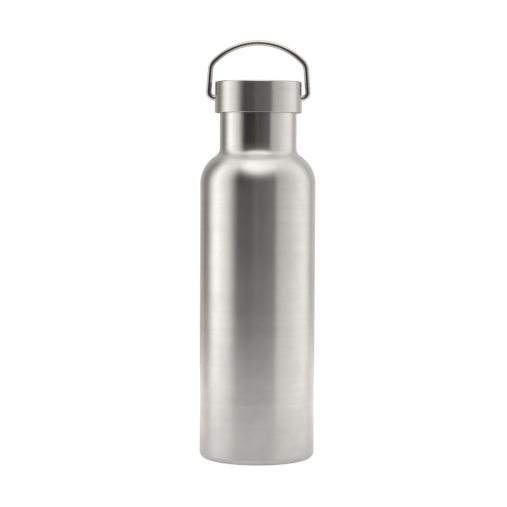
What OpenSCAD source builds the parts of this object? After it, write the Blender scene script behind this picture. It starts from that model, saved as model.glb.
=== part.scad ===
// Insulated drinking bottle: double-wall steel body, screw cap and a swinging wire bail.
// +Z is up, the origin is on the floor under the bottle's axis, and the bail swings about X.

/* [Bottle body] */
// Outside diameter of the body
body_d = 73; // [62:0.5:92]
// Height at which the straight wall ends and the shoulder begins
straight_h = 174.1; // [110:0.1:176]
// Radius of the rounded shoulder
shoulder_r = 20.9; // [14:0.1:26]
// Radius of the bottom edge
base_r = 3.5; // [2:0.1:5]
// Wall of the outer shell and of the outer base
shell_t = 0.5; // [0.4:0.05:0.8]

/* [Neck] */
// Outside diameter of the neck
neck_d = 48.6; // [40:0.2:60]
// Radius of the hollow fillet between the shoulder and the neck
neck_fillet_r = 6; // [4:0.1:9]
// Height of the neck's lip above the floor
lip_z = 223.2; // [215:0.1:300]
// Depth of the flange that closes the gap between the two walls at the lip
lip_t = 0.9; // [0.7:0.1:1.5]

/* [Inner wall] */
// Wall of the liner and of its floor
liner_t = 0.45; // [0.4:0.05:0.7]
// Vacuum gap between the two walls of the body
vacuum_gap = 3; // [2:0.1:5]
// Vacuum gap between the two walls of the neck
neck_gap = 0.7; // [0.5:0.1:1.5]
// Clear height between the outer base and the liner's floor
floor_gap = 4.5; // [3.8:0.1:8]
// Radius of the edge of the liner's floor
liner_floor_r = 6; // [3:0.5:10]
// Thickness of the reflective foil sleeve
foil_t = 0.15; // [0.1:0.05:0.3]
// Distance that the foil stops short of the floor's edge and of the shoulder
foil_margin = 3; // [1:0.5:10]

/* [Base] */
// Width of the flat ring that the bottle stands on
foot_w = 4; // [3:0.5:7]
// Depth of the recess pressed into the base
recess_h = 4.5; // [4:0.1:7]
// How far the base cover sits above the floor
cover_lift = 1.2; // [0.8:0.1:1.4]
// Height of the base cover's upturned rim
cover_rim = 2; // [1.5:0.1:2.2]
// Diameter of the evacuation hole in the base
vent_d = 2.4; // [1.5:0.1:3]
// How far the seal bead stands below the base
bead_h = 1.1; // [0.8:0.1:1.3]

/* [Getter] */
// Diameter of the getter pill
getter_d = 8; // [5:0.5:12]
// Thickness of the getter pill
getter_t = 1.8; // [1:0.1:2.2]
// Distance of the getter from the bottle's axis
getter_x = 13; // [10:0.5:18]
// Thickness of the getter's holder
holder_t = 0.3; // [0.2:0.05:0.5]

/* [Thread] */
// Lift of the cap in one full turn
lead = 8; // [6:0.5:10]
// Number of thread starts
starts = 2; // [1:1:3]
// Turns that each ridge runs round the neck or the plug
ridge_turns = 0.72; // [0.4:0.02:0.9]
// Height of the ridges, from root to crest
ridge_h = 1; // [0.7:0.05:1.3]
// Width of a ridge at its root
ridge_w = 1.5; // [1:0.1:1.8]
// Width of a ridge at its crest
crest_w = 0.8; // [0.5:0.1:1]
// Clearance between a crest and the wall facing it
thread_clear = 0.35; // [0.25:0.05:0.6]
// Depth below the lip at which the neck's ridges start
thread_depth = 8.5; // [7.5:0.5:12]

/* [Cap] */
// Height of the cap's steel shell
cap_h = 19.7; // [17:0.1:26]
// How far the cap's skirt hangs below the lip
skirt_over = 4.4; // [3:0.1:8]
// Wall of the cap's steel shell
cap_t = 0.5; // [0.4:0.05:0.8]
// Radius of the cap's top edge
cap_edge_r = 1; // [0.8:0.1:2]
// Wall of the plastic skirt round the neck
skirt_t = 2.25; // [1.8:0.05:3.5]
// Clearance between the neck and the skirt
skirt_clear = 0.45; // [0.3:0.05:0.8]
// How far the plastic skirt stops above the shell's lower edge
skirt_rise = 0; // [0:0.1:1.5]
// Length of the plug below the lip
plug_len = 13; // [12:0.5:18]
// Wall of the plug
plug_t = 2.6; // [1.8:0.1:3]
// Thickness of the core's roof above the foam
roof_t = 2.4; // [1.5:0.1:4]
// Thickness of the gasket
gasket_t = 1.6; // [1:0.1:3]
// How far the gasket's edge stays inside the neck's outside
gasket_in = 0.3; // [0.2:0.1:0.8]
// Wall of the plug's steel end cap
end_t = 0.5; // [0.4:0.05:0.8]
// Height of the end cap's rim inside the plug
end_rim = 3; // [2:0.5:5]

/* [Bail] */
// Diameter of the bail's wire
wire_d = 3.5; // [2.8:0.1:4.2]
// Height of the bail's top above its pivots
bail_h = 36.5; // [30:0.1:48]
// Gap between the cap's side and the bail's legs
bail_gap = 2; // [1.2:0.1:4]
// How much larger the arch's radius is than the cap's, at the wire's centre
arch_over = 11.45; // [8:0.05:25]
// Radius of the bends at the ends of the arch, at the wire's centre
corner_r = 8; // [5:0.1:10]
// Lean of the legs towards the arch, in degrees
leg_lean = 4.5; // [0:0.5:6]
// Height of the pivots above the core's flange
pivot_up = 3.3; // [2.8:0.1:6]
// Running clearance between a wire end and its bush, on the radius
pivot_clear = 0.05; // [0.03:0.01:0.1]
// Clearance between the wire and the hole in the shell, on the radius
hole_clear = 0.25; // [0.15:0.05:0.5]
// Wall of the pivot bushes
bush_t = 0.65; // [0.5:0.05:1]
// Plastic left behind a bush's closed end
bush_back = 1.9; // [1:0.1:2.5]

/* [Hidden] */

steel = [0.77, 0.76, 0.74];
bright_steel = [0.84, 0.84, 0.83];
black_plastic = [0.07, 0.07, 0.08];

fit = 0.05;             // clearance of a piece that is pressed or bonded into another
slip = 0.2;             // clearance of a piece that is dropped into another
embed = 0.2;            // how deep a ridge's root is sunk into the wall that carries it
over = 1;               // how far a cutter runs past what it cuts
small = 0.01;           // offset that keeps two faces from falling on each other
$fn = 96;

// Radii of the walls
body_r = body_d / 2;
neck_r = neck_d / 2;
liner_r = body_r - shell_t - vacuum_gap;
liner_neck_r = neck_r - shell_t - neck_gap;
neck_bore_r = liner_neck_r - liner_t;

// The shoulder's arc and the fillet are tangent, so their centres are this far apart
function fillet_rise(body, arc, neck, fillet) =
    sqrt(pow(arc + fillet, 2) - pow(neck + fillet - body + arc, 2));

// Base and floor
recess_r = body_r - base_r - foot_w;
base_top = recess_h + shell_t;
floor_z = base_top + floor_gap;
liner_seam_z = floor_z + liner_floor_r;

// Thread, plug and cap
plug_r = neck_bore_r - ridge_h - thread_clear;
plug_crest_r = neck_bore_r - thread_clear;
pitch = lead / starts;
thread_z = lip_z - thread_depth;
foam_r = plug_r - plug_t;
plug_z = lip_z - plug_len;
flange_z = lip_z + gasket_t;
cap_z = lip_z - skirt_over;
cap_top = cap_z + cap_h;
skirt_bore_r = neck_r + skirt_clear;
core_r = skirt_bore_r + skirt_t;
cap_r = core_r + fit + cap_t;
roof_z = cap_top - cap_t - fit;
foam_top = roof_z - roof_t;

// Bail
wire_r = wire_d / 2;
slim_r = wire_r - small;    // straights and the arch, which end inside the bends
tuck = 0.1;
pivot_z = flange_z + pivot_up;
bush_bore_r = wire_r + pivot_clear;
bush_r = bush_bore_r + bush_t;
bush_in = foam_r + bush_back;
bush_out = sqrt(pow(core_r, 2) - pow(bush_r, 2)) - fit;
bush_floor = bush_in + bush_t;
pin_in = bush_floor + slip;
leg_x = cap_r + bail_gap + wire_r;
foot_r = bail_gap + wire_r;
arch_r = cap_r + arch_over;
arch_z = pivot_z + bail_h - wire_r - arch_r;
// The corner bend is tangent to the arch and to the leg's line
leg_line = cos(leg_lean) * cap_r + sin(leg_lean) * (pivot_z + foot_r) + foot_r;
arch_half = asin((leg_line - corner_r - sin(leg_lean) * arch_z) / (arch_r - corner_r)) - leg_lean;
arch_tuck = tuck / arch_r * 180 / PI;
corner_x = (arch_r - corner_r) * sin(arch_half);
corner_z = arch_z + (arch_r - corner_r) * cos(arch_half);

// ---- Shared shapes ----

// Half outline of a bottle-shaped solid, from bottom to top, with its shoulder's two tangent arcs
module bottle_outline(body, arc, neck, fillet, bottom, top) {
    rise = fillet_rise(body, arc, neck, fillet);
    arc_x = body - arc;
    fillet_x = neck + fillet;
    translate([0, bottom]) square([body, straight_h - bottom]);
    translate([0, bottom]) square([neck, top - bottom]);
    translate([0, straight_h]) {
        intersection() {
            translate([arc_x, 0]) circle(r = arc);
            translate([0, -small]) square([body + over, arc + over]);
        }
        difference() {
            polygon([[0, -small], [arc_x, -small], [arc_x, 0], [fillet_x, rise], [0, rise]]);
            translate([fillet_x, rise]) circle(r = fillet);
        }
    }
}

// Half outline of a cup of the given outside, with a rounded bottom edge
module cup_outline(radius, height, edge) {
    square([radius - edge, height]);
    translate([radius - edge, edge]) intersection() {
        circle(r = edge);
        translate([0, -edge]) square([edge, edge]);
    }
    if (height > edge) translate([radius - edge, edge]) square([edge, height - edge]);
}

// Ring between two radii
module ring(inner, outer, bottom, height) {
    rotate_extrude() translate([inner, bottom]) square([outer - inner, height]);
}

// Cross-section of a thread ridge, at share t of its length; it fades out at both ends
function ridge_section(root, tip, t, turns) =
    let (
        fade = min(1, t / 0.15, (1 - t) / 0.15),
        reach = root + (tip - root) * max(0.04, fade),
        back = root - sign(tip - root) * embed,
        angle = 360 * turns * t,
        rise = lead * turns * t
    )
    [for (p = [[back, -ridge_w / 2], [reach, -crest_w / 2], [reach, crest_w / 2], [back, ridge_w / 2]])
        [p[0] * cos(angle), p[0] * sin(angle), rise + p[1]]];

// One helical ridge from its root radius to its tip radius
module ridge(root, tip) {
    steps = ceil(48 * ridge_turns);
    points = [for (i = [0:steps]) each ridge_section(root, tip, i / steps, ridge_turns)];
    sides = [
        for (i = [0:steps - 1], k = [0:3])
            let (a = 4 * i + k, b = 4 * i + (k + 1) % 4)
            each [[a, b, b + 4], [a, b + 4, a + 4]]
    ];
    last = 4 * steps;
    ends = [[0, 3, 2], [0, 2, 1], [last, last + 1, last + 2], [last, last + 2, last + 3]];
    faces = concat(sides, ends);
    flipped = [for (f = faces) [f[0], f[2], f[1]]];
    polyhedron(points = points, faces = tip > root ? faces : flipped);
}

// All the starts of a thread; the plug's ridges run midway between the neck's
module thread(root, tip, offset_z) {
    for (i = [0:starts - 1])
        translate([0, 0, thread_z + offset_z]) rotate([0, 0, 360 * i / starts]) ridge(root, tip);
}

// Length of wire bent to a radius, in the XZ plane, between two angles from +X
module wire_bend(radius, from, to, thickness) {
    rotate([90, 0, 0]) rotate([0, 0, from])
        rotate_extrude(angle = to - from) translate([radius, 0]) circle(r = thickness, $fn = 48);
}

// Straight length of wire along +Z, whose ends are tucked into the bends that it meets
module wire_straight(length, start_tuck) {
    translate([0, 0, -start_tuck])
        cylinder(r = slim_r, h = length + start_tuck + tuck, $fn = 48);
}

// ---- Bottle ----

module outer_shell() {
    color(steel) rotate_extrude() difference() {
        union() {
            bottle_outline(body_r, shoulder_r, neck_r, neck_fillet_r, base_r, lip_z - shell_t);
            translate([0, lip_z - lip_t]) mirror([0, 1]) translate([0, -lip_t])
                cup_outline(neck_r, lip_t, shell_t);
        }
        bottle_outline(
            body_r - shell_t, shoulder_r - shell_t, neck_r - shell_t, neck_fillet_r + shell_t,
            base_r - over, lip_z - lip_t
        );
        translate([0, lip_z - lip_t - over]) square([liner_neck_r + small, lip_t + 2 * over]);
    }
}

module outer_base() {
    color(steel) rotate_extrude() difference() {
        union() {
            cup_outline(body_r, base_r, base_r);
            square([recess_r + shell_t, base_top]);
        }
        difference() {
            translate([0, shell_t]) cup_outline(body_r - shell_t, base_r, base_r - shell_t);
            square([recess_r + shell_t, base_top]);
        }
        translate([0, -over]) square([recess_r, recess_h + over]);
        square([vent_d / 2, base_top + over]);
    }
}

module base_cover() {
    cover_r = recess_r - fit;
    color(steel) rotate_extrude() translate([0, cover_lift]) difference() {
        cup_outline(cover_r, cover_rim, shell_t);
        translate([0, shell_t]) square([cover_r - shell_t, cover_rim]);
    }
}

module vacuum_seal_bead() {
    bead_r = vent_d / 2 + bead_h;
    dome_r = (pow(bead_r, 2) + pow(bead_h, 2)) / (2 * bead_h);
    color([0.32, 0.33, 0.35]) {
        intersection() {
            translate([0, 0, recess_h + dome_r - bead_h]) sphere(r = dome_r);
            translate([0, 0, recess_h - bead_h - over]) cylinder(r = bead_r + over, h = bead_h + over);
        }
        translate([0, 0, recess_h - embed]) cylinder(r = vent_d / 2 - small, h = shell_t + embed);
    }
}

module inner_liner() {
    color(bright_steel) union() {
        rotate_extrude() difference() {
            bottle_outline(
                liner_r, shoulder_r - shell_t - vacuum_gap,
                liner_neck_r, neck_fillet_r + shell_t + neck_gap, liner_seam_z, lip_z
            );
            bottle_outline(
                liner_r - liner_t, shoulder_r - shell_t - vacuum_gap - liner_t,
                liner_neck_r - liner_t, neck_fillet_r + shell_t + neck_gap + liner_t,
                liner_seam_z - over, lip_z + over
            );
        }
        thread(neck_bore_r, neck_bore_r - ridge_h, 0);
    }
}

module liner_floor() {
    color(bright_steel) rotate_extrude() translate([0, floor_z]) difference() {
        cup_outline(liner_r, liner_floor_r, liner_floor_r);
        translate([0, liner_t])
            cup_outline(liner_r - liner_t, liner_floor_r, liner_floor_r - liner_t);
    }
}

module foil_sleeve() {
    bottom = liner_seam_z + foil_margin;
    color([0.72, 0.45, 0.3])
        ring(liner_r + fit, liner_r + fit + foil_t, bottom, straight_h - foil_margin - bottom);
}

module getter_pill() {
    color([0.5, 0.48, 0.47]) translate([getter_x, 0, base_top + holder_t])
        cylinder(d = getter_d, h = getter_t);
}

// Shallow cup that is spot-welded to the base, with its rim folded in over the pill
module getter_holder() {
    inside_r = getter_d / 2 + fit;
    color(bright_steel) translate([getter_x, 0, base_top]) rotate_extrude() difference() {
        square([inside_r + holder_t, getter_t + 2 * holder_t + fit]);
        translate([0, holder_t]) square([inside_r, getter_t + fit]);
        translate([0, holder_t]) square([inside_r - holder_t, getter_t + 2 * holder_t]);
    }
}

// ---- Cap ----

module cap_shell() {
    color(steel) difference() {
        rotate_extrude() difference() {
            translate([0, cap_top]) mirror([0, 1]) cup_outline(cap_r, cap_h, cap_edge_r);
            translate([0, cap_top - cap_t]) mirror([0, 1])
                cup_outline(cap_r - cap_t, cap_h, cap_edge_r - cap_t);
        }
        translate([0, 0, pivot_z]) rotate([0, 90, 0])
            cylinder(r = wire_r + hole_clear, h = 2 * cap_r + over, center = true);
    }
}

module cap_core() {
    edge = cap_edge_r - cap_t + fit;
    color(black_plastic) union() {
        difference() {
            rotate_extrude() difference() {
                union() {
                    translate([0, roof_z]) mirror([0, 1])
                        cup_outline(core_r, roof_z - cap_z - skirt_rise, edge);
                    translate([0, plug_z]) square([plug_r, flange_z - plug_z]);
                }
                translate([plug_r, cap_z - over])
                    square([skirt_bore_r - plug_r, flange_z - cap_z + over]);
                translate([0, plug_z - over]) square([foam_r, foam_top - plug_z + over]);
            }
            for (side = [-1, 1])
                translate([side * bush_in, 0, pivot_z]) rotate([0, side * 90, 0])
                    cylinder(r = bush_r, h = core_r - bush_in + over);
        }
        thread(plug_r, plug_crest_r, -pitch / 2);
    }
}

module cap_insulation() {
    bottom = plug_z + end_rim + slip;
    color([0.93, 0.93, 0.9]) translate([0, 0, bottom])
        cylinder(r = foam_r - slip, h = foam_top - slip - bottom);
}

// Pressed steel disc that closes the plug, with a rim pushed up inside it
module plug_end_cap() {
    rim_r = foam_r - fit;
    color(bright_steel) rotate_extrude() {
        translate([0, plug_z - end_t]) cup_outline(plug_r, end_t, end_t - small);
        translate([rim_r - end_t, plug_z - small]) square([end_t, end_rim + small]);
    }
}

module lip_gasket() {
    color([0.86, 0.86, 0.84])
        ring(plug_r + fit, neck_r - gasket_in, lip_z, gasket_t);
}

// Blind sleeve that takes one end of the wire; side is -1 at the left and 1 at the right
module pivot_bush(side) {
    color([0.12, 0.12, 0.13])
        translate([side * bush_in, 0, pivot_z]) rotate([0, side * 90, 0]) difference() {
            cylinder(r = bush_r, h = bush_out - bush_in);
            translate([0, 0, bush_floor - bush_in])
                cylinder(r = bush_bore_r, h = bush_out - bush_floor + over);
        }
}

module pivot_bush_left() {
    pivot_bush(-1);
}

module pivot_bush_right() {
    pivot_bush(1);
}

// ---- Bail ----

// Half of the bail, on the +X side: pin, lower bend, leg and corner
module bail_side() {
    leg_len = cos(leg_lean) * (corner_z - pivot_z - foot_r) + sin(leg_lean) * (cap_r - corner_x);
    translate([pin_in, 0, pivot_z]) rotate([0, 90, 0]) wire_straight(cap_r - pin_in, 0);
    translate([cap_r, 0, pivot_z + foot_r]) wire_bend(foot_r, -90, leg_lean, wire_r);
    translate([cap_r + foot_r * cos(leg_lean), 0, pivot_z + foot_r + foot_r * sin(leg_lean)])
        rotate([0, -leg_lean, 0]) wire_straight(leg_len, tuck);
    translate([corner_x, 0, corner_z]) wire_bend(corner_r, leg_lean, 90 - arch_half, wire_r);
}

module bail_handle() {
    color(bright_steel) union() {
        bail_side();
        mirror([1, 0, 0]) bail_side();
        translate([0, 0, arch_z])
            wire_bend(arch_r, 90 - arch_half - arch_tuck, 90 + arch_half + arch_tuck, slim_r);
    }
}

outer_shell();
outer_base();
base_cover();
vacuum_seal_bead();
inner_liner();
liner_floor();
foil_sleeve();
getter_pill();
getter_holder();
cap_shell();
cap_core();
cap_insulation();
plug_end_cap();
lip_gasket();
pivot_bush_left();
pivot_bush_right();
bail_handle();
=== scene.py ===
"""Insulated steel bottle with a screw cap and a swinging wire bail, built round its CAD frame."""

import logging
import math
from dataclasses import dataclass, field
from enum import Enum

import bmesh
import bpy
from mathutils import Matrix, Vector


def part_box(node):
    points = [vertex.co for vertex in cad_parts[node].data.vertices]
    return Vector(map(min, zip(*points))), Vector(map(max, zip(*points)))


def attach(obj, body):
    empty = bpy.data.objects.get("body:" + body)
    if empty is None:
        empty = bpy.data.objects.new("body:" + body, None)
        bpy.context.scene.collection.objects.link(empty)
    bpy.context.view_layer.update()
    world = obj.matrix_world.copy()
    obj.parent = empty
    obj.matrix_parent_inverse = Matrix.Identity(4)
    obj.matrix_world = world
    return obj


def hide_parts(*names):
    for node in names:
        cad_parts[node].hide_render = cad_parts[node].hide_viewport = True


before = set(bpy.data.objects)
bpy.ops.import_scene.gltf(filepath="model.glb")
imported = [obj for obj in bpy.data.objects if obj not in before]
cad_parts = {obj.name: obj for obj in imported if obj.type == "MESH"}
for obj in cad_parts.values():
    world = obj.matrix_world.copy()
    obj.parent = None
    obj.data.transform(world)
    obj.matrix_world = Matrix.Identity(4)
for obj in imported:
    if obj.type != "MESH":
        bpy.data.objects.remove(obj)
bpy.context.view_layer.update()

MM = 0.001
ROUND_STEPS = 192  # facets round the axis
HOLE_SIDES = 48
WELD = 1e-7  # points of one outline that are this close are one point
HALF_WELD = 1e-6  # the same where the wire's two halves meet
SHARP_ANGLE = math.radians(38)
LOG = logging.getLogger("bottle")

Colour = tuple[float, float, float]


class Carrier(Enum):
    """The CAD bodies that pieces ride on."""

    BOTTLE = "bottle"
    GASKET = "gasket"
    CAP = "cap"
    BAIL = "bail"


class Slot(Enum):
    """The record's material slots."""

    BODY_STEEL = "brushed_steel_body"
    CAP_STEEL = "brushed_steel_cap"
    PLAIN_STEEL = "plain_steel"
    WIRE = "polished_wire"
    BLACK_PLASTIC = "black_plastic"
    BUSH_PLASTIC = "bush_plastic"
    SILICONE = "silicone"
    FOAM = "foam"
    FOIL = "foil"
    SEAL_GLASS = "seal_glass"
    GETTER = "getter_metal"


# ---- Shader building ----


class Signal:
    """A number that varies over a surface: a shader socket that takes part in sums."""

    def __init__(self, shader: "Shader", socket: bpy.types.NodeSocket) -> None:
        """Wraps a socket.

        Args:
            shader: The shader that the socket belongs to.
            socket: An output socket that carries a number.
        """
        self.shader = shader
        self.socket = socket

    def _sum(self, operation: str, first: object, second: object) -> "Signal":
        """Adds one Math node.

        Args:
            operation: The Math node's operation.
            first: A Signal or a number.
            second: A Signal or a number.

        Returns:
            The result as a Signal.
        """
        node = self.shader.node("ShaderNodeMath", {"operation": operation}, {0: first, 1: second})
        return Signal(self.shader, node.outputs[0])

    def __add__(self, other: object) -> "Signal":
        """Returns self + other."""
        return self._sum("ADD", self, other)

    def __radd__(self, other: object) -> "Signal":
        """Returns other + self."""
        return self._sum("ADD", other, self)

    def __sub__(self, other: object) -> "Signal":
        """Returns self - other."""
        return self._sum("SUBTRACT", self, other)

    def __rsub__(self, other: object) -> "Signal":
        """Returns other - self."""
        return self._sum("SUBTRACT", other, self)

    def __mul__(self, other: object) -> "Signal":
        """Returns self * other."""
        return self._sum("MULTIPLY", self, other)

    def __rmul__(self, other: object) -> "Signal":
        """Returns other * self."""
        return self._sum("MULTIPLY", other, self)

    def __pow__(self, other: object) -> "Signal":
        """Returns self to the power of other."""
        return self._sum("POWER", self, other)

    def rise(self, low: float, high: float) -> "Signal":
        """Eases from 0 at low to 1 at high.

        Args:
            low: Value at which the result starts to rise.
            high: Value at which the result reaches 1.

        Returns:
            The eased Signal.
        """
        node = self.shader.node(
            "ShaderNodeMapRange",
            {"interpolation_type": "SMOOTHSTEP"},
            {"Value": self, "From Min": low, "From Max": high},
        )
        return Signal(self.shader, node.outputs["Result"])

    def window(self, start: float, full: float, fall: float, end: float) -> "Signal":
        """Eases up between start and full, holds, and eases down between fall and end.

        Args:
            start: Value below which the result is 0.
            full: Value from which the result is 1.
            fall: Value up to which the result is 1.
            end: Value above which the result is 0.

        Returns:
            The window as a Signal.
        """
        return self.rise(start, full) * (1 - self.rise(fall, end))


@dataclass(frozen=True)
class Grain:
    """The cells of a noise: how many there are in a metre, and how fine their detail is."""

    across: float
    along: float
    detail: float
    rough: float = 0.5


class Shader:
    """Builds the nodes of one material or of the world."""

    def __init__(self, tree: bpy.types.NodeTree) -> None:
        """Empties a node tree and keeps it.

        Args:
            tree: The node tree to build in.
        """
        self.tree = tree
        tree.nodes.clear()

    def node(
        self, kind: str, settings: dict | None = None, inputs: dict | None = None
    ) -> bpy.types.Node:
        """Adds one node.

        Args:
            kind: The node's type.
            settings: The node's own properties, set first. The key "stops" takes a ramp's
                positions and colours.
            inputs: Values, sockets or Signals for its sockets, by name or index.

        Returns:
            The new node.
        """
        node = self.tree.nodes.new(kind)
        for key, value in (settings or {}).items():
            if key == "stops":
                self._set_stops(node.color_ramp, value)
            else:
                setattr(node, key, value)
        for key, value in (inputs or {}).items():
            if isinstance(value, Signal):
                value = value.socket
            if isinstance(value, bpy.types.NodeSocket):
                self.tree.links.new(value, node.inputs[key])
            else:
                node.inputs[key].default_value = value
        return node

    @staticmethod
    def _set_stops(ramp: bpy.types.ColorRamp, stops: list) -> None:
        """Sets a colour ramp's stops.

        Args:
            ramp: The ramp.
            stops: Pairs of position and grey level.
        """
        while len(ramp.elements) < len(stops):
            ramp.elements.new(1.0)
        for element, (position, level) in zip(ramp.elements, stops):
            element.position = position
            element.color = (level, level, level, 1)

    def object_axes(self) -> tuple[Signal, Signal, Signal]:
        """Returns the object coordinates as three Signals, in metres."""
        where = self.node("ShaderNodeTexCoord").outputs["Object"]
        split = self.node("ShaderNodeSeparateXYZ", None, {0: where})
        return tuple(Signal(self, out) for out in split.outputs)

    def vector(self, x: object, y: object, z: object) -> bpy.types.NodeSocket:
        """Joins three numbers or Signals.

        Args:
            x: First part.
            y: Second part.
            z: Third part.

        Returns:
            The vector's socket.
        """
        return self.node("ShaderNodeCombineXYZ", None, {0: x, 1: y, 2: z}).outputs[0]

    def noise(self, vector: bpy.types.NodeSocket, detail: float, rough: float = 0.5) -> Signal:
        """Adds a noise texture.

        Args:
            vector: Where the noise is read, in cells.
            detail: Its octaves.
            rough: How strong the finer octaves are.

        Returns:
            The noise, from 0 to 1.
        """
        node = self.node(
            "ShaderNodeTexNoise",
            {"noise_dimensions": "3D"},
            {"Vector": vector, "Scale": 1.0, "Detail": detail, "Roughness": rough},
        )
        return Signal(self, node.outputs[0])

    def grain(self, cells: "Grain") -> Signal:
        """Adds noise in the object's own axes.

        Args:
            cells: The size and detail of its cells.

        Returns:
            The noise, from 0 to 1.
        """
        x, y, z = self.object_axes()
        where = self.vector(x * cells.across, y * cells.across, z * cells.along)
        return self.noise(where, cells.detail, cells.rough)

    def bump(self, height: Signal, distance: float) -> bpy.types.NodeSocket:
        """Turns a height into a normal.

        Args:
            height: The height, from 0 to 1.
            distance: The height's depth in metres.

        Returns:
            The normal's socket.
        """
        node = self.node("ShaderNodeBump", None, {"Height": height, "Distance": distance})
        return node.outputs["Normal"]

    def tint(self, colour: Colour, shade: Signal) -> bpy.types.NodeSocket:
        """Scales a colour by a Signal.

        Args:
            colour: The colour.
            shade: What it is multiplied by.

        Returns:
            The colour's socket.
        """
        inputs = {0: colour, "Scale": shade}
        return self.node("ShaderNodeVectorMath", {"operation": "SCALE"}, inputs).outputs[0]

    def blend(self, first: Colour, second: Colour, share: Signal) -> bpy.types.NodeSocket:
        """Mixes two colours.

        Args:
            first: The colour where the share is 0.
            second: The colour where the share is 1.
            share: How much of the second colour there is.

        Returns:
            The mixed colour's socket.
        """
        node = self.node(
            "ShaderNodeMix",
            {"data_type": "RGBA"},
            {"Factor": share, "A": (*first, 1), "B": (*second, 1)},
        )
        return node.outputs["Result"]

    def surface(self, inputs: dict) -> None:
        """Ends the tree with one Principled surface.

        Args:
            inputs: The surface's sockets.
        """
        surface = self.node("ShaderNodeBsdfPrincipled", None, inputs)
        self.node("ShaderNodeOutputMaterial", None, {"Surface": surface.outputs[0]})


def new_material(name: str) -> tuple[bpy.types.Material, Shader]:
    """Makes an empty node material.

    Args:
        name: The material's name.

    Returns:
        The material and the Shader that fills it.
    """
    material = bpy.data.materials.new(name)
    material.use_nodes = True
    return material, Shader(material.node_tree)


# ---- Finishes ----


@dataclass(frozen=True)
class LatheBrushedSteel:
    """Stainless steel brushed while it turned, so its lines run round the axis."""

    name: str
    colour: Colour = (0.80, 0.783, 0.748)
    roughness: float = 0.25
    anisotropy: float = 0.9
    brush_turn: float = 0.25
    fine_lines: Grain = Grain(12, 700, 0.0)
    medium_lines: Grain = Grain(9, 300, 0.0)
    broad_bands: Grain = Grain(22, 60, 3.0)
    smudge_cells: Grain = Grain(55, 38, 4.0, 0.6)
    wave_cells: Grain = Grain(34, 26, 2.0)
    wave_depth: float = 2.6e-4
    fine_share: float = 0.55
    line_shade: float = 0.10
    band_shade: float = 0.04
    smudge_shade: float = 0.07
    band_rough: float = 0.015
    smudge_rough: float = 0.02
    neck_low: float = 197 * MM
    neck_rise: float = 4 * MM
    neck_polish: float = 0.0
    bend: tuple[float, ...] = (-9 * MM, -5 * MM, -2 * MM, 1 * MM)
    bend_grain: float = 0.0

    def make(self) -> bpy.types.Material:
        """Returns the material."""
        material, sh = new_material(self.name)
        x, y, z = sh.object_axes()
        along = z - (x * x + y * y) ** 0.5
        fine, medium, broad = (
            sh.noise(sh.vector(x * g.across, y * g.across, along * g.along), g.detail)
            for g in (self.fine_lines, self.medium_lines, self.broad_bands)
        )
        smudge = sh.grain(self.smudge_cells).rise(0.42, 0.72)
        streak = fine * self.fine_share + medium * (1 - self.fine_share)
        shade = 1.0 + (streak - 0.5) * self.line_shade + (broad - 0.5) * self.band_shade
        necked = z.rise(self.neck_low, self.neck_low + self.neck_rise)
        bent = z.window(*(self.neck_low + edge for edge in self.bend))
        rough = self.roughness - necked * self.neck_polish + bent * self.bend_grain
        rough = rough + (broad - 0.5) * self.band_rough + smudge * self.smudge_rough
        sh.surface(
            {
                "Base Color": sh.tint(self.colour, shade - smudge * self.smudge_shade),
                "Metallic": 1.0,
                "Roughness": rough,
                "Anisotropic": self.anisotropy,
                "Anisotropic Rotation": self.brush_turn,
                "Normal": sh.bump(sh.grain(self.wave_cells), self.wave_depth),
            }
        )
        return material


@dataclass(frozen=True)
class PlainSteel:
    """Smooth electropolished steel with faint drawing marks."""

    name: str
    colour: Colour = (0.72, 0.715, 0.70)
    roughness: float = 0.28
    marks: Grain = Grain(260, 60, 3.0)
    cloud: Grain = Grain(70, 70, 2.0)
    mark_depth: float = 4.0e-6

    def make(self) -> bpy.types.Material:
        """Returns the material."""
        material, sh = new_material(self.name)
        cloud = sh.grain(self.cloud)
        sh.surface(
            {
                "Base Color": sh.tint(self.colour, 0.96 + cloud * 0.08),
                "Metallic": 1.0,
                "Roughness": self.roughness + (cloud - 0.5) * 0.1,
                "Normal": sh.bump(sh.grain(self.marks), self.mark_depth),
            }
        )
        return material


@dataclass(frozen=True)
class PolishedWire:
    """Bright drawn wire with a few fine handling scratches."""

    name: str
    colour: Colour = (0.64, 0.62, 0.59)
    roughness: float = 0.13
    grain: Grain = Grain(900, 900, 2.0)
    wear: Grain = Grain(120, 120, 3.0)
    grain_depth: float = 1.5e-6

    def make(self) -> bpy.types.Material:
        """Returns the material."""
        material, sh = new_material(self.name)
        grain = sh.grain(self.grain)
        wear = sh.grain(self.wear).rise(0.5, 0.8)
        sh.surface(
            {
                "Base Color": sh.tint(self.colour, 0.97 + grain * 0.06),
                "Metallic": 1.0,
                "Roughness": self.roughness + grain * 0.04 + wear * 0.08,
                "Normal": sh.bump(grain, self.grain_depth),
            }
        )
        return material


@dataclass(frozen=True)
class MouldedPlastic:
    """Moulded plastic with a fine spark-eroded texture."""

    name: str
    colour: Colour = (0.018, 0.018, 0.019)
    roughness: float = 0.55
    shine: float = 0.3
    grain: Grain = Grain(2200, 2200, 2.0)
    cloud: Grain = Grain(90, 90, 2.0)
    grain_depth: float = 1.2e-5

    def make(self) -> bpy.types.Material:
        """Returns the material."""
        material, sh = new_material(self.name)
        grain, cloud = sh.grain(self.grain), sh.grain(self.cloud)
        sh.surface(
            {
                "Base Color": sh.tint(self.colour, 0.85 + cloud * 0.3),
                "Roughness": self.roughness + (grain - 0.5) * 0.1 + (cloud - 0.5) * 0.1,
                "IOR": 1.49,
                "Specular IOR Level": self.shine,
                "Normal": sh.bump(grain, self.grain_depth),
            }
        )
        return material


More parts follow.
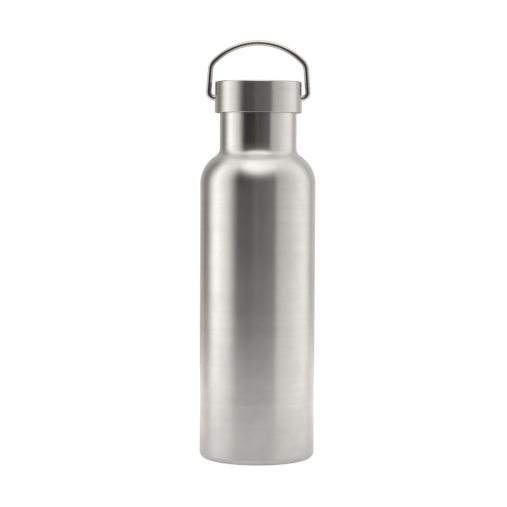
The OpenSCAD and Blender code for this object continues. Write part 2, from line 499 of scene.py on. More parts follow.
@dataclass(frozen=True)
class GrainedFinish:
    """A finish whose shade, roughness and height all follow one grain.

    The pairs hold the value where the grain is 0, and how much it gains where the grain is 1.
    """

    name: str
    colour: Colour
    cells: Grain
    shade: tuple[float, float]
    rough: tuple[float, float]
    depth: float
    fixed: tuple[tuple[str, float], ...] = ()

    def make(self) -> bpy.types.Material:
        """Returns the material."""
        material, sh = new_material(self.name)
        grain = sh.grain(self.cells)
        sh.surface(
            {
                "Base Color": sh.tint(self.colour, self.shade[0] + grain * self.shade[1]),
                "Roughness": self.rough[0] + grain * self.rough[1],
                "Normal": sh.bump(grain, self.depth),
                **dict(self.fixed),
            }
        )
        return material


def soft_silicone() -> GrainedFinish:
    """Returns milky silicone rubber with a dusting of fine matt grain."""
    cells = Grain(1500, 1500, 3.0)
    colour = (0.80, 0.80, 0.77)
    return GrainedFinish(
        "silicone", colour, cells, (0.94, 0.08), (0.41, 0.14), 8.0e-6, (("IOR", 1.41),)
    )


def wrinkled_foil() -> GrainedFinish:
    """Returns bright foil with the creases of hand wrapping."""
    cells = Grain(160, 45, 5.0, 0.6)
    colour = (0.84, 0.84, 0.84)
    return GrainedFinish(
        "foil", colour, cells, (0.92, 0.12), (0.16, 0.12), 2.5e-4, (("Metallic", 1.0),)
    )


def fused_bead() -> GrainedFinish:
    """Returns dark glossy glass solder that has flowed and set."""
    cells = Grain(700, 700, 2.0)
    return GrainedFinish(
        "seal_glass", (0.06, 0.065, 0.075), cells, (0.8, 0.5), (0.12, 0.12), 4.0e-5
    )


def sintered_metal() -> GrainedFinish:
    """Returns porous pressed metal powder."""
    cells = Grain(3000, 3000, 3.0)
    colour = (0.24, 0.235, 0.23)
    return GrainedFinish(
        "getter_metal", colour, cells, (0.7, 0.6), (0.62, 0.2), 3.0e-5, (("Metallic", 0.9),)
    )


@dataclass(frozen=True)
class ClosedCellFoam:
    """Pale closed-cell foam with small pores."""

    name: str
    colour: Colour = (0.86, 0.86, 0.82)
    cells: float = 900.0
    pore_depth: float = 1.2e-4

    def make(self) -> bpy.types.Material:
        """Returns the material."""
        material, sh = new_material(self.name)
        where = sh.node("ShaderNodeTexCoord").outputs["Object"]
        inputs = {"Vector": where, "Scale": self.cells}
        cells = sh.node("ShaderNodeTexVoronoi", {"feature": "F1"}, inputs)
        pore = Signal(sh, cells.outputs["Distance"])
        sh.surface(
            {
                # The colour darkens towards the bottom of each pore: painted shade in the pores.
                "Base Color": sh.tint(self.colour, 0.82 + pore * 0.25),
                "Roughness": 0.86 + pore * 0.08,
                "Normal": sh.bump(pore, self.pore_depth),
            }
        )
        return material


@dataclass(frozen=True)
class PaleFloor:
    """Plain matt white table that glows evenly to the camera, and in reflections and light glows a
    little less beside the object: painted shade.
    """

    name: str = "pale_floor"
    colour: Colour = (0.45, 0.45, 0.45)
    glow: float = 0.80
    # beside and beyond set the glow seen in reflections and light; the dip beside the object is
    # painted shade
    beside: float = 0.29
    beyond: float = 0.58
    near: float = 0.05
    far: float = 0.27

    def make(self) -> bpy.types.Material:
        """Returns the material."""
        material, sh = new_material(self.name)
        x, y, _ = sh.object_axes()
        away = ((x * x + y * y) ** 0.5).rise(self.near, self.far)
        seen = Signal(sh, sh.node("ShaderNodeLightPath").outputs["Is Camera Ray"])
        # The glow seen in reflections and light dips beside the object: a painted shade round its
        # base.
        painted_shade_glow = self.beside + away * (self.beyond - self.beside)
        top = sh.node(
            "ShaderNodeBsdfPrincipled",
            None,
            {
                "Base Color": (*self.colour, 1),
                "Roughness": 0.9,
                "Specular IOR Level": 0.2,
                "Emission Color": sh.tint((1, 1, 1), painted_shade_glow * (1 - seen) + seen * self.glow),
                "Emission Strength": 1.0,
            },
        )
        underside = sh.node("ShaderNodeNewGeometry").outputs["Backfacing"]
        clear = sh.node("ShaderNodeBsdfTransparent")
        sides = {0: underside, 1: top.outputs[0], 2: clear.outputs[0]}
        both = sh.node("ShaderNodeMixShader", None, sides)
        sh.node("ShaderNodeOutputMaterial", None, {"Surface": both.outputs[0]})
        return material


# ---- Mesh building ----


class Outline:
    """A lathe outline in the XZ plane: straights and arcs drawn in turn, then spun about Z."""

    def __init__(self, radius: float, height: float) -> None:
        """Starts the outline at one point.

        Args:
            radius: Distance from the axis.
            height: Height above the floor.
        """
        self.bm = bmesh.new()
        self.first = self.bm.verts.new((radius, 0, height))
        self.last = self.first

    def line(self, radius: float, height: float, hold: float = 0.0) -> "Outline":
        """Draws a straight to a point.

        Args:
            radius: The point's distance from the axis.
            height: The point's height.
            hold: Length of a short stretch at each end, which keeps a long flat wall's shading
                flat beside an arc.

        Returns:
            The outline.
        """
        start = self.last.co.copy()
        end = Vector((radius, 0, height))
        length = (end - start).length
        shares = [hold / length, 1 - hold / length, 1] if hold and length > 3 * hold else [1]
        for share in shares:
            made = bmesh.ops.extrude_vert_indiv(self.bm, verts=[self.last])
            self.last = made["verts"][0]
            self.last.co = start.lerp(end, share)
        return self

    def arc(
        self, centre_radius: float, centre_height: float, degrees: float, steps: int
    ) -> "Outline":
        """Draws an arc about a centre.

        Args:
            centre_radius: The centre's distance from the axis.
            centre_height: The centre's height.
            degrees: How far it turns, positive from +X towards +Z.
            steps: Number of straight stretches.

        Returns:
            The outline.
        """
        made = bmesh.ops.spin(
            self.bm,
            geom=[self.last],
            cent=(centre_radius, 0, centre_height),
            axis=(0, -1, 0),
            angle=math.radians(degrees),
            steps=steps,
            use_merge=False,
            use_duplicate=False,
        )
        self.last = next(g for g in made["geom_last"] if isinstance(g, bmesh.types.BMVert))
        return self

    def close(self) -> "Outline":
        """Joins the last point to the first."""
        self.bm.edges.new((self.last, self.first))
        return self

    def weld(self) -> "Outline":
        """Merges the last point with the first, where an arc ends on it."""
        bmesh.ops.remove_doubles(self.bm, verts=self.bm.verts[:], dist=WELD)
        return self

    def spun(self, steps: int = ROUND_STEPS) -> bmesh.types.BMesh:
        """Spins the outline a full turn about Z.

        Args:
            steps: Number of facets round the axis.

        Returns:
            The closed mesh, with its faces outwards.
        """
        bmesh.ops.spin(
            self.bm,
            geom=self.bm.verts[:] + self.bm.edges[:],
            cent=(0, 0, 0),
            axis=(0, 0, 1),
            angle=2 * math.pi,
            steps=steps,
            use_merge=True,
            use_duplicate=False,
        )
        bmesh.ops.remove_doubles(self.bm, verts=self.bm.verts[:], dist=WELD)
        bmesh.ops.recalc_face_normals(self.bm, faces=self.bm.faces[:])
        return self.bm


@dataclass(frozen=True)
class Thread:
    """One screw thread: several starts of a rounded ridge on a round wall."""

    root: float
    crest: float
    bottom: float
    lead: float = 8 * MM
    starts: int = 2
    turns: float = 0.72
    root_width: float = 1.5 * MM
    crest_width: float = 0.8 * MM
    sunk: float = 0.2 * MM
    soft: float = 0.25 * MM
    fade: float = 0.13
    least: float = 0.03
    steps_a_turn: int = 120

    def ridge(self, start: int) -> bmesh.types.BMesh:
        """Builds one ridge.

        Args:
            start: Which of the starts it is, from 0.

        Returns:
            The ridge's closed mesh.
        """
        side = math.copysign(1, self.crest - self.root)
        back = self.root - side * self.sunk
        flank = (
            (self.root, self.root_width / 2),
            (self.crest - side * self.soft, self.crest_width / 2 + self.soft * 0.3),
            (self.crest - side * self.soft * 0.3, self.crest_width / 2 - self.soft * 0.35),
            (self.crest, self.crest_width / 2 - self.soft),
        )
        outline = Outline(back, self.bottom - self.root_width / 2)
        for radius, half in flank:
            outline.line(radius, self.bottom - half)
        for radius, half in reversed(flank):
            outline.line(radius, self.bottom + half)
        outline.line(back, self.bottom + self.root_width / 2)
        outline.close()
        bm = outline.bm
        steps = math.ceil(self.steps_a_turn * self.turns)
        bmesh.ops.contextual_create(bm, geom=bm.edges[:])
        bmesh.ops.spin(
            bm,
            geom=bm.faces[:] + bm.edges[:] + bm.verts[:],
            cent=(0, 0, 0),
            axis=(0, 0, 1),
            dvec=(0, 0, self.lead * self.turns / steps),
            angle=2 * math.pi * self.turns,
            steps=steps,
            use_merge=False,
            use_duplicate=False,
        )
        for vert in bm.verts:
            radius = math.hypot(vert.co.x, vert.co.y)
            angle = math.atan2(vert.co.y, vert.co.x) % (2 * math.pi)
            share = angle / (2 * math.pi * self.turns)
            ease = max(self.least, min(1.0, share / self.fade, (1 - share) / self.fade))
            if (radius - self.root) * side > 0:
                wanted = self.root + (radius - self.root) * ease
                vert.co.x *= wanted / radius
                vert.co.y *= wanted / radius
        turned = Matrix.Rotation(2 * math.pi * start / self.starts, 3, "Z")
        bmesh.ops.rotate(bm, verts=bm.verts[:], matrix=turned)
        bmesh.ops.recalc_face_normals(bm, faces=bm.faces[:])
        return bm

    def add_to(self, bm: bmesh.types.BMesh) -> None:
        """Adds every start to a mesh.

        Args:
            bm: The wall's mesh.
        """
        for start in range(self.starts):
            merge_into(bm, self.ridge(start))


def merge_into(bm: bmesh.types.BMesh, extra: bmesh.types.BMesh) -> None:
    """Copies one mesh into another and frees it.

    Args:
        bm: The mesh that grows.
        extra: The mesh that is copied.
    """
    held = bpy.data.meshes.new("held")
    extra.to_mesh(held)
    extra.free()
    bm.from_mesh(held)
    bpy.data.meshes.remove(held)


def as_object(name: str, bm: bmesh.types.BMesh) -> bpy.types.Object:
    """Turns a mesh into a smooth-shaded object at the origin.

    Args:
        name: The piece's name.
        bm: Its mesh, which is freed.

    Returns:
        The object.
    """
    for face in bm.faces:
        face.smooth = True
    mesh = bpy.data.meshes.new(name)
    bm.to_mesh(mesh)
    bm.free()
    mesh.set_sharp_from_angle(angle=SHARP_ANGLE)
    piece = bpy.data.objects.new(name, mesh)
    bpy.context.scene.collection.objects.link(piece)
    return piece


def cut_round_holes(
    piece: bpy.types.Object, radius: float, height: float, reach: float, from_x: float
) -> None:
    """Cuts a round hole along X in both sides of a piece.

    Args:
        piece: The piece that is cut.
        radius: The holes' radius.
        height: The height of their axis.
        reach: How far from the axis each cutter ends.
        from_x: How far from the axis each cutter starts.
    """
    cutter = bmesh.new()
    for side in (-1, 1):
        middle = Matrix.Translation((side * (from_x + reach) / 2, 0, height))
        bmesh.ops.create_cone(
            cutter,
            cap_ends=True,
            segments=HOLE_SIDES,
            radius1=radius,
            radius2=radius,
            depth=reach - from_x,
            matrix=middle @ Matrix.Rotation(math.pi / 2, 4, "Y"),
        )
    tool = as_object("hole_cutter", cutter)
    modifier = piece.modifiers.new("holes", "BOOLEAN")
    modifier.operation = "DIFFERENCE"
    modifier.solver = "EXACT"
    modifier.object = tool
    bpy.context.view_layer.update()
    finished = piece.evaluated_get(bpy.context.evaluated_depsgraph_get())
    cut = bpy.data.meshes.new_from_object(finished)
    piece.modifiers.clear()
    old = piece.data
    cut.name = old.name
    piece.data = cut
    bpy.data.meshes.remove(old)
    bpy.data.objects.remove(tool)


def tangent_arcs(body: float, arc: float, neck: float, fillet: float) -> tuple[float, float]:
    """Works out the two arcs that lead a wall from its body into its neck.

    Args:
        body: The body's radius.
        arc: The shoulder's radius.
        neck: The neck's radius.
        fillet: The radius of the hollow under the neck.

    Returns:
        The rise from the shoulder's centre to the fillet's, and the arcs' turn in degrees.
    """
    across = neck + fillet - body + arc
    rise = math.sqrt((arc + fillet) ** 2 - across**2)
    return rise, math.degrees(math.atan2(rise, across))


def dress(
    piece: bpy.types.Object,
    material: bpy.types.Material,
    carrier: Carrier,
    nodes: tuple[str, ...],
) -> None:
    """Gives a finished piece its material and its place in the frame.

    Args:
        piece: The piece.
        material: Its material.
        carrier: The body it rides on.
        nodes: The CAD nodes it stands for.
    """
    piece.data.materials.clear()
    piece.data.materials.append(material)
    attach(piece, carrier.value)
    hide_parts(*nodes)
    LOG.info("%s: %d faces", piece.name, len(piece.data.polygons))


def finish_node(node: str, material: bpy.types.Material) -> None:
    """Gives a CAD node that stays in view its material.

    Args:
        node: The CAD node's name.
        material: Its material.
    """
    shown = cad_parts[node]
    if not shown.material_slots:
        shown.data.materials.append(material)
    for entry in shown.material_slots:
        entry.material = material
    LOG.info("%s: finished", node)


# ---- Sub-assemblies ----


@dataclass
class DoubleWall:
    """The two walls of the bottle, from the base's seam to the lip."""

    steel: bpy.types.Material
    inner_steel: bpy.types.Material
    wall: float = 0.5 * MM
    liner_wall: float = 0.45 * MM
    shoulder_radius: float = 20.9 * MM
    straight_height: float = 174.1 * MM
    neck_radius: float = 24.3 * MM
    fillet_radius: float = 6 * MM
    lip_depth: float = 0.9 * MM
    lip_round: float = 0.45 * MM
    vacuum_gap: float = 3 * MM
    neck_gap: float = 0.7 * MM
    thread_depth: float = 8.5 * MM
    thread_height: float = 1.0 * MM
    hold: float = 0.6 * MM
    low: Vector = field(init=False)
    high: Vector = field(init=False)

    def __post_init__(self) -> None:
        """Reads the outer shell's box."""
        self.low, self.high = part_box("outer_shell")

    @property
    def body_radius(self) -> float:
        """Outside radius of the body."""
        return self.high.x

    @property
    def lip(self) -> float:
        """Height of the lip."""
        return self.high.z

    def build_outer(self) -> bpy.types.Object:
        """Builds the outer wall, with its shoulder, neck and rolled lip.

        Returns:
            The piece.
        """
        rise, turn = tangent_arcs(
            self.body_radius, self.shoulder_radius, self.neck_radius, self.fillet_radius
        )
        arc_x = self.body_radius - self.shoulder_radius
        fillet_x = self.neck_radius + self.fillet_radius
        fillet_z = self.straight_height + rise
        liner_neck = self.neck_radius - self.wall - self.neck_gap
        shoulder, hollow = 22, 14
        outline = Outline(self.body_radius, self.low.z)
        outline.line(self.body_radius, self.straight_height, self.hold)
        outline.arc(arc_x, self.straight_height, turn, shoulder)
        outline.arc(fillet_x, fillet_z, -turn, hollow)
        outline.line(self.neck_radius, self.lip - self.lip_round, self.hold)
        outline.arc(self.neck_radius - self.lip_round, self.lip - self.lip_round, 90, 6)
        outline.line(liner_neck, self.lip)
        outline.line(liner_neck, self.lip - self.lip_depth)
        outline.line(self.neck_radius - self.wall, self.lip - self.lip_depth)
        outline.line(self.neck_radius - self.wall, fillet_z, self.hold)
        outline.arc(fillet_x, fillet_z, turn, hollow)
        outline.arc(arc_x, self.straight_height, -turn, shoulder)
        outline.line(self.body_radius - self.wall, self.low.z, self.hold)
        outline.close()
        return as_object("bottle_wall", outline.spun())

    def build_liner(self) -> bpy.types.Object:
        """Builds the inner wall with its rolled thread.

        Returns:
            The piece.
        """
        low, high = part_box("inner_liner")
        outer = high.x
        inner = outer - self.liner_wall
        neck_out = self.neck_radius - self.wall - self.neck_gap
        neck_in = neck_out - self.liner_wall
        arc = self.shoulder_radius - self.wall - self.vacuum_gap
        fillet = self.fillet_radius + self.wall + self.neck_gap
        rise, turn = tangent_arcs(outer, arc, neck_out, fillet)
        arc_x = outer - arc
        fillet_x = neck_out + fillet
        fillet_z = self.straight_height + rise
        half = self.liner_wall / 2
        shoulder, hollow = 18, 12
        outline = Outline(outer, low.z)
        outline.line(outer, self.straight_height, self.hold)
        outline.arc(arc_x, self.straight_height, turn, shoulder)
        outline.arc(fillet_x, fillet_z, -turn, hollow)
        outline.line(neck_out, high.z - half, self.hold)
        outline.arc(neck_out - half, high.z - half, 180, 8)
        outline.line(neck_in, fillet_z, self.hold)
        outline.arc(fillet_x, fillet_z, turn, hollow)
        outline.arc(arc_x, self.straight_height, -turn, shoulder)
        outline.line(inner, low.z, self.hold)
        outline.close()
        wall = outline.spun()
        crest = neck_in - self.thread_height
        Thread(root=neck_in, crest=crest, bottom=self.lip - self.thread_depth).add_to(wall)
        return as_object("liner_wall", wall)

    def build(self) -> None:
        """Builds and dresses both walls and the foil between them."""
        outer, liner = self.build_outer(), self.build_liner()
        dress(outer, self.steel, Carrier.BOTTLE, ("outer_shell",))
        dress(liner, self.inner_steel, Carrier.BOTTLE, ("inner_liner",))
        finish_node("liner_floor", self.inner_steel)
        finish_node("foil_sleeve", wrinkled_foil().make())


@dataclass
class Base:
    """The pressed base with its recess, the disc that covers the seal, and the getter."""

    steel: bpy.types.Material
    inner_steel: bpy.types.Material
    edge_radius: float = 3.5 * MM
    foot_width: float = 4 * MM
    recess: float = 4.5 * MM
    wall: float = 0.5 * MM
    press_radius: float = 0.8 * MM
    vent_radius: float = 1.2 * MM
    rings: tuple[float, ...] = (21 * MM, 12 * MM)
    ring_rise: float = 0.45 * MM
    ring_slope: float = 0.9 * MM

    def build_base(self) -> bpy.types.Object:
        """Builds the pressed base.

        Returns:
            The piece.
        """
        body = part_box("outer_base")[1].x
        corner = body - self.edge_radius
        recess = corner - self.foot_width
        top = self.recess + self.wall
        press = self.press_radius
        edge = 14
        outline = Outline(body, self.edge_radius)
        outline.arc(corner, self.edge_radius, -90, edge)
        outline.line(recess + press, 0)
        outline.arc(recess + press, press, -90, 8)
        outline.line(recess, self.recess - press)
        outline.arc(recess - press, self.recess - press, 90, 8)
        outline.line(self.vent_radius, self.recess)
        outline.line(self.vent_radius, top)
        outline.line(recess - press, top)
        outline.arc(recess - press, self.recess - press, -90, 8)
        outline.line(recess + self.wall, press)
        outline.arc(recess + press, press, 90, 6)
        outline.line(corner, self.wall)
        outline.arc(corner, self.edge_radius, 90, edge)
        outline.close()
        return as_object("bottle_base", outline.spun())

    def build_cover(self) -> bpy.types.Object:
        """Builds the base's cover disc, with its pressed rings.

        Returns:
            The piece.
        """
        low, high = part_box("base_cover")
        rim = high.x
        press = self.wall
        outline = Outline(0, low.z + self.ring_rise)
        level = self.ring_rise
        for ring in reversed(self.rings):
            outline.line(ring - self.ring_slope, low.z + level)
            level = self.ring_rise - level
            outline.line(ring, low.z + level)
        outline.line(rim - press, low.z + level)
        outline.arc(rim - press, low.z + press, 90, 6)
        outline.line(rim, high.z)
        outline.line(rim - self.wall, high.z)
        outline.line(rim - self.wall, low.z + self.wall + level)
        for ring in self.rings:
            outline.line(ring, low.z + level + self.wall)
            level = self.ring_rise - level
            outline.line(ring - self.ring_slope, low.z + level + self.wall)
        outline.line(0, low.z + self.ring_rise + self.wall)
        outline.close()
        return as_object("base_disc", outline.spun())

    def build(self) -> None:
        """Builds and dresses the base's pieces."""
        dress(self.build_base(), self.steel, Carrier.BOTTLE, ("outer_base",))
        dress(self.build_cover(), self.steel, Carrier.BOTTLE, ("base_cover",))
        finish_node("vacuum_seal_bead", fused_bead().make())
        finish_node("getter_pill", sintered_metal().make())
        finish_node("getter_holder", self.inner_steel)


@dataclass
class ScrewCap:
    """The steel-clad screw cap with its plug and its gasket."""

    steel: bpy.types.Material
    inner_steel: bpy.types.Material
    plastic: bpy.types.Material
    wall: float = 0.5 * MM
    top_round: float = 1.0 * MM
    fit: float = 0.05 * MM
    neck_radius: float = 24.3 * MM
    skirt_clear: float = 0.45 * MM
    hole_radius: float = 2 * MM
    bush_radius: float = 2.45 * MM
    skirt_rise: float = 0.0
    pivot_up: float = 3.3 * MM
    plug_wall: float = 2.6 * MM
    plug_radius: float = 21.3 * MM
    thread_height: float = 1.0 * MM
    thread_drop: float = 10.5 * MM
    soft_edge: float = 0.3 * MM
    shell_hold: float = 0.5 * MM
    roof: float = 2.4 * MM
    gasket_soft: float = 0.35 * MM
    end_press: float = 0.4 * MM
    end_slope: float = 1.2 * MM
    end_ring: float = 14 * MM

    @property
    def flange(self) -> float:
        """Height of the flange that presses on the gasket."""
        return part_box("lip_gasket")[1].z

    @property
    def pivot(self) -> float:
        """Height of the bail's pivots."""
        return self.flange + self.pivot_up

    def build_shell(self) -> bpy.types.Object:
        """Builds the deep-drawn steel shell with the wire's holes.

        Returns:
            The piece.
        """
        low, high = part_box("cap_shell")
        outer, half = high.x, self.wall / 2
        inner = outer - self.wall
        inner_round = self.top_round - self.wall
        hold = self.shell_hold
        outline = Outline(outer, low.z + half)
        outline.line(outer, high.z - self.top_round, hold)
        outline.arc(outer - self.top_round, high.z - self.top_round, 90, 10)
        outline.line(0, high.z, hold)
        outline.line(0, high.z - self.wall)
        outline.line(inner - inner_round, high.z - self.wall, hold)
        outline.arc(inner - inner_round, high.z - self.top_round, -90, 6)
        outline.line(inner, low.z + half, hold)
        outline.arc(outer - half, low.z + half, 180, 8)
        shell = as_object("cap_skin", outline.weld().spun())
        past = 2 * MM
        cut_round_holes(shell, self.hole_radius, self.pivot, outer + past, inner - past)
        return shell

    def build_core(self) -> bpy.types.Object:
        """Builds the plastic body with its skirt, its threaded plug and the bushes' bores.

        Returns:
            The piece.
        """
        low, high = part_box("cap_core")
        skirt_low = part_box("cap_shell")[0].z + self.skirt_rise
        foam = self.plug_radius - self.plug_wall
        foam_top = high.z - self.roof
        skirt_bore = self.neck_radius + self.skirt_clear
        outer, soft = high.x, self.soft_edge
        edge = self.top_round - self.wall + self.fit
        outline = Outline(outer, skirt_low + soft)
        outline.line(outer, high.z - edge, soft)
        outline.arc(outer - edge, high.z - edge, 90, 6)
        outline.line(0, high.z)
        outline.line(0, foam_top)
        outline.line(foam, foam_top)
        outline.line(foam, low.z)
        outline.line(self.plug_radius - soft, low.z)
        outline.arc(self.plug_radius - soft, low.z + soft, 90, 5)
        outline.line(self.plug_radius, self.flange, soft)
        outline.line(skirt_bore, self.flange)
        outline.line(skirt_bore, skirt_low + soft, soft)
        outline.arc(skirt_bore + soft, skirt_low + soft, 90, 5)
        outline.line(outer - soft, skirt_low)
        outline.arc(outer - soft, skirt_low + soft, 90, 5)
        piece = as_object("cap_body", outline.weld().spun())
        bush_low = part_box("pivot_bush_right")[0].x
        past = 1 * MM
        cut_round_holes(piece, self.bush_radius, self.pivot, outer + past, bush_low)
        self._add_thread(piece)
        return piece

    def _add_thread(self, piece: bpy.types.Object) -> None:
        """Adds the plug's thread to the core.

        Args:
            piece: The core.
        """
        bm = bmesh.new()
        bm.from_mesh(piece.data)
        crest = self.plug_radius + self.thread_height
        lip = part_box("lip_gasket")[0].z
        Thread(root=self.plug_radius, crest=crest, bottom=lip - self.thread_drop).add_to(bm)
        for face in bm.faces:
            face.smooth = True
        bm.to_mesh(piece.data)
        bm.free()
        piece.data.set_sharp_from_angle(angle=SHARP_ANGLE)

    def build_gasket(self) -> bpy.types.Object:
        """Builds the gasket with its rounded edges.

        Returns:
            The piece.
        """
        low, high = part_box("lip_gasket")
        inner = self.plug_radius + self.fit
        soft = self.gasket_soft
        outline = Outline(high.x, low.z + soft)
        outline.line(high.x, high.z - soft)
        outline.arc(high.x - soft, high.z - soft, 90, 5)
        outline.line(inner + soft, high.z)
        outline.arc(inner + soft, high.z - soft, 90, 5)
        outline.line(inner, low.z + soft)
        outline.arc(inner + soft, low.z + soft, 90, 5)
        outline.line(high.x - soft, low.z)
        outline.arc(high.x - soft, low.z + soft, 90, 5)
        return as_object("gasket_ring", outline.weld().spun())

    def build_plug_end(self) -> bpy.types.Object:
        """Builds the steel disc that closes the plug, with a pressed ring.

        Returns:
            The piece.
        """
        low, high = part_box("plug_end_cap")
        wall, press, slope, ring = self.wall, self.end_press, self.end_slope, self.end_ring
        rim = self.plug_radius - self.plug_wall - self.fit
        outline = Outline(0, low.z + press)
        outline.line(ring - slope, low.z + press)
        outline.line(ring, low.z)
        outline.line(high.x - wall, low.z)
        outline.arc(high.x - wall, low.z + wall, 90, 6)
        outline.line(rim, low.z + wall)
        outline.line(rim, high.z)
        outline.line(rim - wall, high.z)
        outline.line(rim - wall, low.z + wall)
        outline.line(ring, low.z + wall)
        outline.line(ring - slope, low.z + press + wall)
        outline.line(0, low.z + press + wall)
        outline.close()
        return as_object("plug_end", outline.spun())

    def build(self) -> None:
        """Builds and dresses the cap's pieces."""
        shell, core, end = self.build_shell(), self.build_core(), self.build_plug_end()
        gasket = self.build_gasket()
        silicone = soft_silicone().make()
        dress(shell, self.steel, Carrier.CAP, ("cap_shell",))
        dress(core, self.plastic, Carrier.CAP, ("cap_core",))
        dress(end, self.inner_steel, Carrier.CAP, ("plug_end_cap",))
        dress(gasket, silicone, Carrier.GASKET, ("lip_gasket",))
        bush = MouldedPlastic("bush_plastic", colour=(0.03, 0.03, 0.032), roughness=0.35).make()
        finish_node("pivot_bush_left", bush)
        finish_node("pivot_bush_right", bush)
        finish_node("cap_insulation", ClosedCellFoam("foam").make())


@dataclass
class WireBail:
    """The carry handle: one length of wire bent in the XZ plane."""

    material: bpy.types.Material
    wire_radius: float = 1.75 * MM
    gap: float = 2 * MM
    arch_radius: float = 39 * MM
    corner_radius: float = 8 * MM
    leg_lean: float = 4.5
    round_steps: int = 40
    pin_chamfer: float = 0.35 * MM
    pin_inset: float = 0.85 * MM

    def build(self) -> None:
        """Sweeps the wire along its bends and dresses it."""
        low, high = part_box("bail_handle")
        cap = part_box("cap_shell")[1].x
        pin_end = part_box("pivot_bush_right")[0].x + self.pin_inset
        pivot = low.z + self.wire_radius
        foot = self.gap + self.wire_radius
        arch_z = high.z - self.wire_radius - self.arch_radius
        lean = math.radians(self.leg_lean)
        line = math.cos(lean) * cap + math.sin(lean) * (pivot + foot) + foot
        inner_reach = self.arch_radius - self.corner_radius
        across = line - self.corner_radius - math.sin(lean) * arch_z
        half = math.asin(across / inner_reach) - lean
        corner = Vector((inner_reach * math.sin(half), 0, arch_z + inner_reach * math.cos(half)))
        leg_foot = Vector((cap + foot * math.cos(lean), 0, pivot + foot + foot * math.sin(lean)))
        leg_top = corner + Vector((math.cos(lean), 0, math.sin(lean))) * self.corner_radius
        corner_turn = 90 - math.degrees(half) - self.leg_lean
        tip = Vector((pin_end, 0, pivot))
        wire = WireSweep(self.wire_radius, self.round_steps, tip, self.pin_chamfer)
        wire.straight(Vector((cap - pin_end - self.pin_chamfer, 0, 0)))
        wire.bend(Vector((cap, 0, pivot + foot)), 90 + self.leg_lean, 20)
        wire.straight(leg_top - leg_foot)
        wire.bend(corner, corner_turn, 16)
        wire.bend(Vector((0, 0, arch_z)), math.degrees(half), 20)
        wire.finish_half()
        piece = as_object("wire_bail", wire.bm)
        dress(piece, self.material, Carrier.BAIL, ("bail_handle",))


class WireSweep:
    """A round wire that grows by straights and bends from its chamfered end."""

    def __init__(self, radius: float, steps: int, end: Vector, chamfer: float) -> None:
        """Starts the wire at its end, pointing along +X.

        Args:
            radius: The wire's radius.
            steps: Sides round the wire.
            end: Where its end face lies.
            chamfer: The end's chamfer.
        """
        self.bm = bmesh.new()
        place = Matrix.Translation(end) @ Matrix.Rotation(-math.pi / 2, 4, "Y")
        bmesh.ops.create_circle(
            self.bm, cap_ends=True, segments=steps, radius=radius - chamfer, matrix=place
        )
        self.ring = self.bm.edges[:]
        self.straight(Vector((chamfer, 0, 0)))
        centre = end + Vector((chamfer, 0, 0))
        verts = {v for e in self.ring for v in e.verts}
        share = radius / (radius - chamfer)
        for vert in verts:
            vert.co = centre + (vert.co - centre) * share

    def straight(self, step: Vector) -> None:
        """Extrudes the wire's open ring.

        Args:
            step: How far and in which direction.
        """
        made = bmesh.ops.extrude_edge_only(self.bm, edges=self.ring)["geom"]
        verts = [g for g in made if isinstance(g, bmesh.types.BMVert)]
        self.ring = [g for g in made if isinstance(g, bmesh.types.BMEdge)]
        bmesh.ops.translate(self.bm, verts=verts, vec=step)

    def bend(self, centre: Vector, degrees: float, steps: int) -> None:
        """Spins the wire's open ring about a centre.

        Args:
            centre: The bend's centre.
            degrees: How far it turns, positive from +X towards +Z.
            steps: Number of stretches.
        """
        made = bmesh.ops.spin(
            self.bm,
            geom=self.ring + list({v for e in self.ring for v in e.verts}),
            cent=centre,
            axis=(0, -1, 0),
            angle=math.radians(degrees),
            steps=steps,
            use_merge=False,
            use_duplicate=False,
        )
        self.ring = [g for g in made["geom_last"] if isinstance(g, bmesh.types.BMEdge)]

    def finish_half(self) -> None:
        """Mirrors the half wire across the YZ plane and welds the two halves."""
        geometry = self.bm.verts[:] + self.bm.edges[:] + self.bm.faces[:]
        bmesh.ops.mirror(self.bm, geom=geometry, axis="X", merge_dist=HALF_WELD)
        bmesh.ops.remove_doubles(self.bm, verts=self.bm.verts[:], dist=HALF_WELD)
        bmesh.ops.recalc_face_normals(self.bm, faces=self.bm.faces[:])


# ---- Studio ----


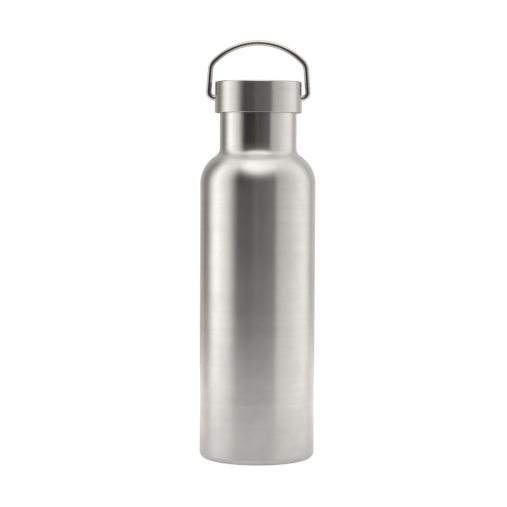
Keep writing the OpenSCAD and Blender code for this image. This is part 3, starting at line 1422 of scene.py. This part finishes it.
@dataclass
class Studio:
    """The white table, the soft surround and the camera."""

    table_front: float = -0.31
    table_back: float = 0.45
    table_side: float = 0.42
    distance: float = 1.050
    eye: float = 0.1882
    tilt: float = 3.186
    roll: float = 0.298
    lens: float = 117.49
    sideways: float = -0.00795
    ring: tuple[tuple[float, float], ...] = (
        (-180, 0.604), (-165, 0.532), (-150, 0.461), (-130, 0.231), (-122, 0.257), (-115, 0.417),
        (-108, 0.763), (-98, 1.136), (-89, 1.26), (-70, 0.905), (-60, 0.68), (-52, 0.345),
        (-44, 0.08), (-38, 0.022), (-12, 0.027), (-5, 0.067), (0, 0.075), (6, 0.053), (14, 0.075),
        (34, 0.124), (39, 0.408), (46, 0.506), (62, 0.604), (80, 0.799), (95, 0.941), (108, 0.985),
        (119, 0.825), (127, 0.621), (135, 0.479), (144, 0.559), (155, 0.621), (180, 0.586),
    )
    dome_level: float = 1.04
    dome_low: float = 34
    dome_high: float = 68
    key_level: float = 1.36
    key_height: float = 63
    key_side: float = 3
    key_full: float = 20
    key_edge: float = 33
    backdrop: float = 1.06
    warm: Colour = (1.0, 0.975, 0.90)
    neutral: Colour = (1.0, 1.0, 1.0)

    def build_table(self) -> None:
        """Builds the table top."""
        bm = bmesh.new()
        depth = self.table_back - self.table_front
        size = Matrix.Diagonal((self.table_side, depth / 2, 1, 1))
        middle = Matrix.Translation((0, (self.table_back + self.table_front) / 2, 0))
        bmesh.ops.create_grid(bm, x_segments=1, y_segments=1, size=1, matrix=middle @ size)
        table = as_object("table_top", bm)
        table.data.materials.append(PaleFloor().make())

    def build_surround(self) -> None:
        """Builds the soft panels round the object as the world's light."""
        world = bpy.data.worlds.new("studio")
        bpy.context.scene.world = world
        world.use_nodes = True
        sh = Shader(world.node_tree)
        towards = sh.node("ShaderNodeTexCoord").outputs["Generated"]
        split = sh.node("ShaderNodeSeparateXYZ", None, {0: towards})
        x, y, z = (Signal(sh, out) for out in split.outputs)
        round_about = sh.node("ShaderNodeMath", {"operation": "ARCTAN2"}, {0: x, 1: y * -1})
        turn = Signal(sh, round_about.outputs[0]) * (0.5 / math.pi) + 0.5
        peak = max(level for _, level in self.ring)
        stops = [(0.5 + azimuth / 360, level / peak) for azimuth, level in self.ring]
        levels = sh.node("ShaderNodeValToRGB", {"stops": stops}, {0: turn})
        wall = Signal(sh, levels.outputs[0]) * peak
        low, high = math.radians(self.dome_low), math.radians(self.dome_high)
        dome = z.rise(math.sin(low), math.sin(high))
        height = math.radians(self.key_height)
        side = math.radians(self.key_side)
        forward = x * math.sin(side) - y * math.cos(side)
        towards_key = z * math.sin(height) + forward * math.cos(height)
        edge, full = math.radians(self.key_edge), math.radians(self.key_full)
        key = towards_key.rise(math.cos(edge), math.cos(full))
        room = wall * (1 - dome) + dome * self.dome_level
        light = room * (1 - key) + key * self.key_level
        seen = Signal(sh, sh.node("ShaderNodeLightPath").outputs["Is Camera Ray"])
        level = light * (1 - seen) + seen * self.backdrop
        tone = sh.blend(self.warm, self.neutral, level.rise(0.0, 1.0))
        glow = sh.node("ShaderNodeBackground", None, {"Color": tone, "Strength": level})
        sh.node("ShaderNodeOutputWorld", None, {"Surface": glow.outputs[0]})

    def build_camera(self) -> None:
        """Places the camera in front of the bottle, a little above its middle."""
        data = bpy.data.cameras.new("camera")
        data.sensor_fit = "HORIZONTAL"
        data.sensor_width = 36
        data.lens = self.lens
        data.shift_x = self.sideways
        data.clip_start, data.clip_end = 0.05, 10
        camera = bpy.data.objects.new("camera", data)
        upright = Matrix.Rotation(math.radians(90 - self.tilt), 4, "X")
        rolled = Matrix.Rotation(math.radians(self.roll), 4, "Z")
        camera.matrix_world = Matrix.Translation((0, -self.distance, self.eye)) @ upright @ rolled
        bpy.context.scene.collection.objects.link(camera)
        bpy.context.scene.camera = camera

    def build(self) -> None:
        """Builds the whole studio."""
        self.build_table()
        self.build_surround()
        self.build_camera()
        view = bpy.context.scene.view_settings
        view.view_transform = "Standard"
        view.look = "None"


def main() -> None:
    """Builds the bottle and its studio."""
    logging.basicConfig(level=logging.INFO, format="%(name)s: %(message)s")
    body_steel = LatheBrushedSteel(
        "brushed_steel_body", neck_polish=0.065, bend_grain=0.06
    ).make()
    # The cap's steel is the body's steel made darker: painted shade for the dimmer light on the
    # cap.
    shaded_cap_steel = LatheBrushedSteel("brushed_steel_cap", colour=(0.748, 0.731, 0.699)).make()
    inner_steel = PlainSteel("plain_steel").make()
    plastic = MouldedPlastic("black_plastic").make()
    DoubleWall(body_steel, inner_steel).build()
    Base(body_steel, inner_steel).build()
    ScrewCap(shaded_cap_steel, inner_steel, plastic).build()
    WireBail(PolishedWire("polished_wire").make()).build()
    Studio().build()


if __name__ == "__main__":
    main()
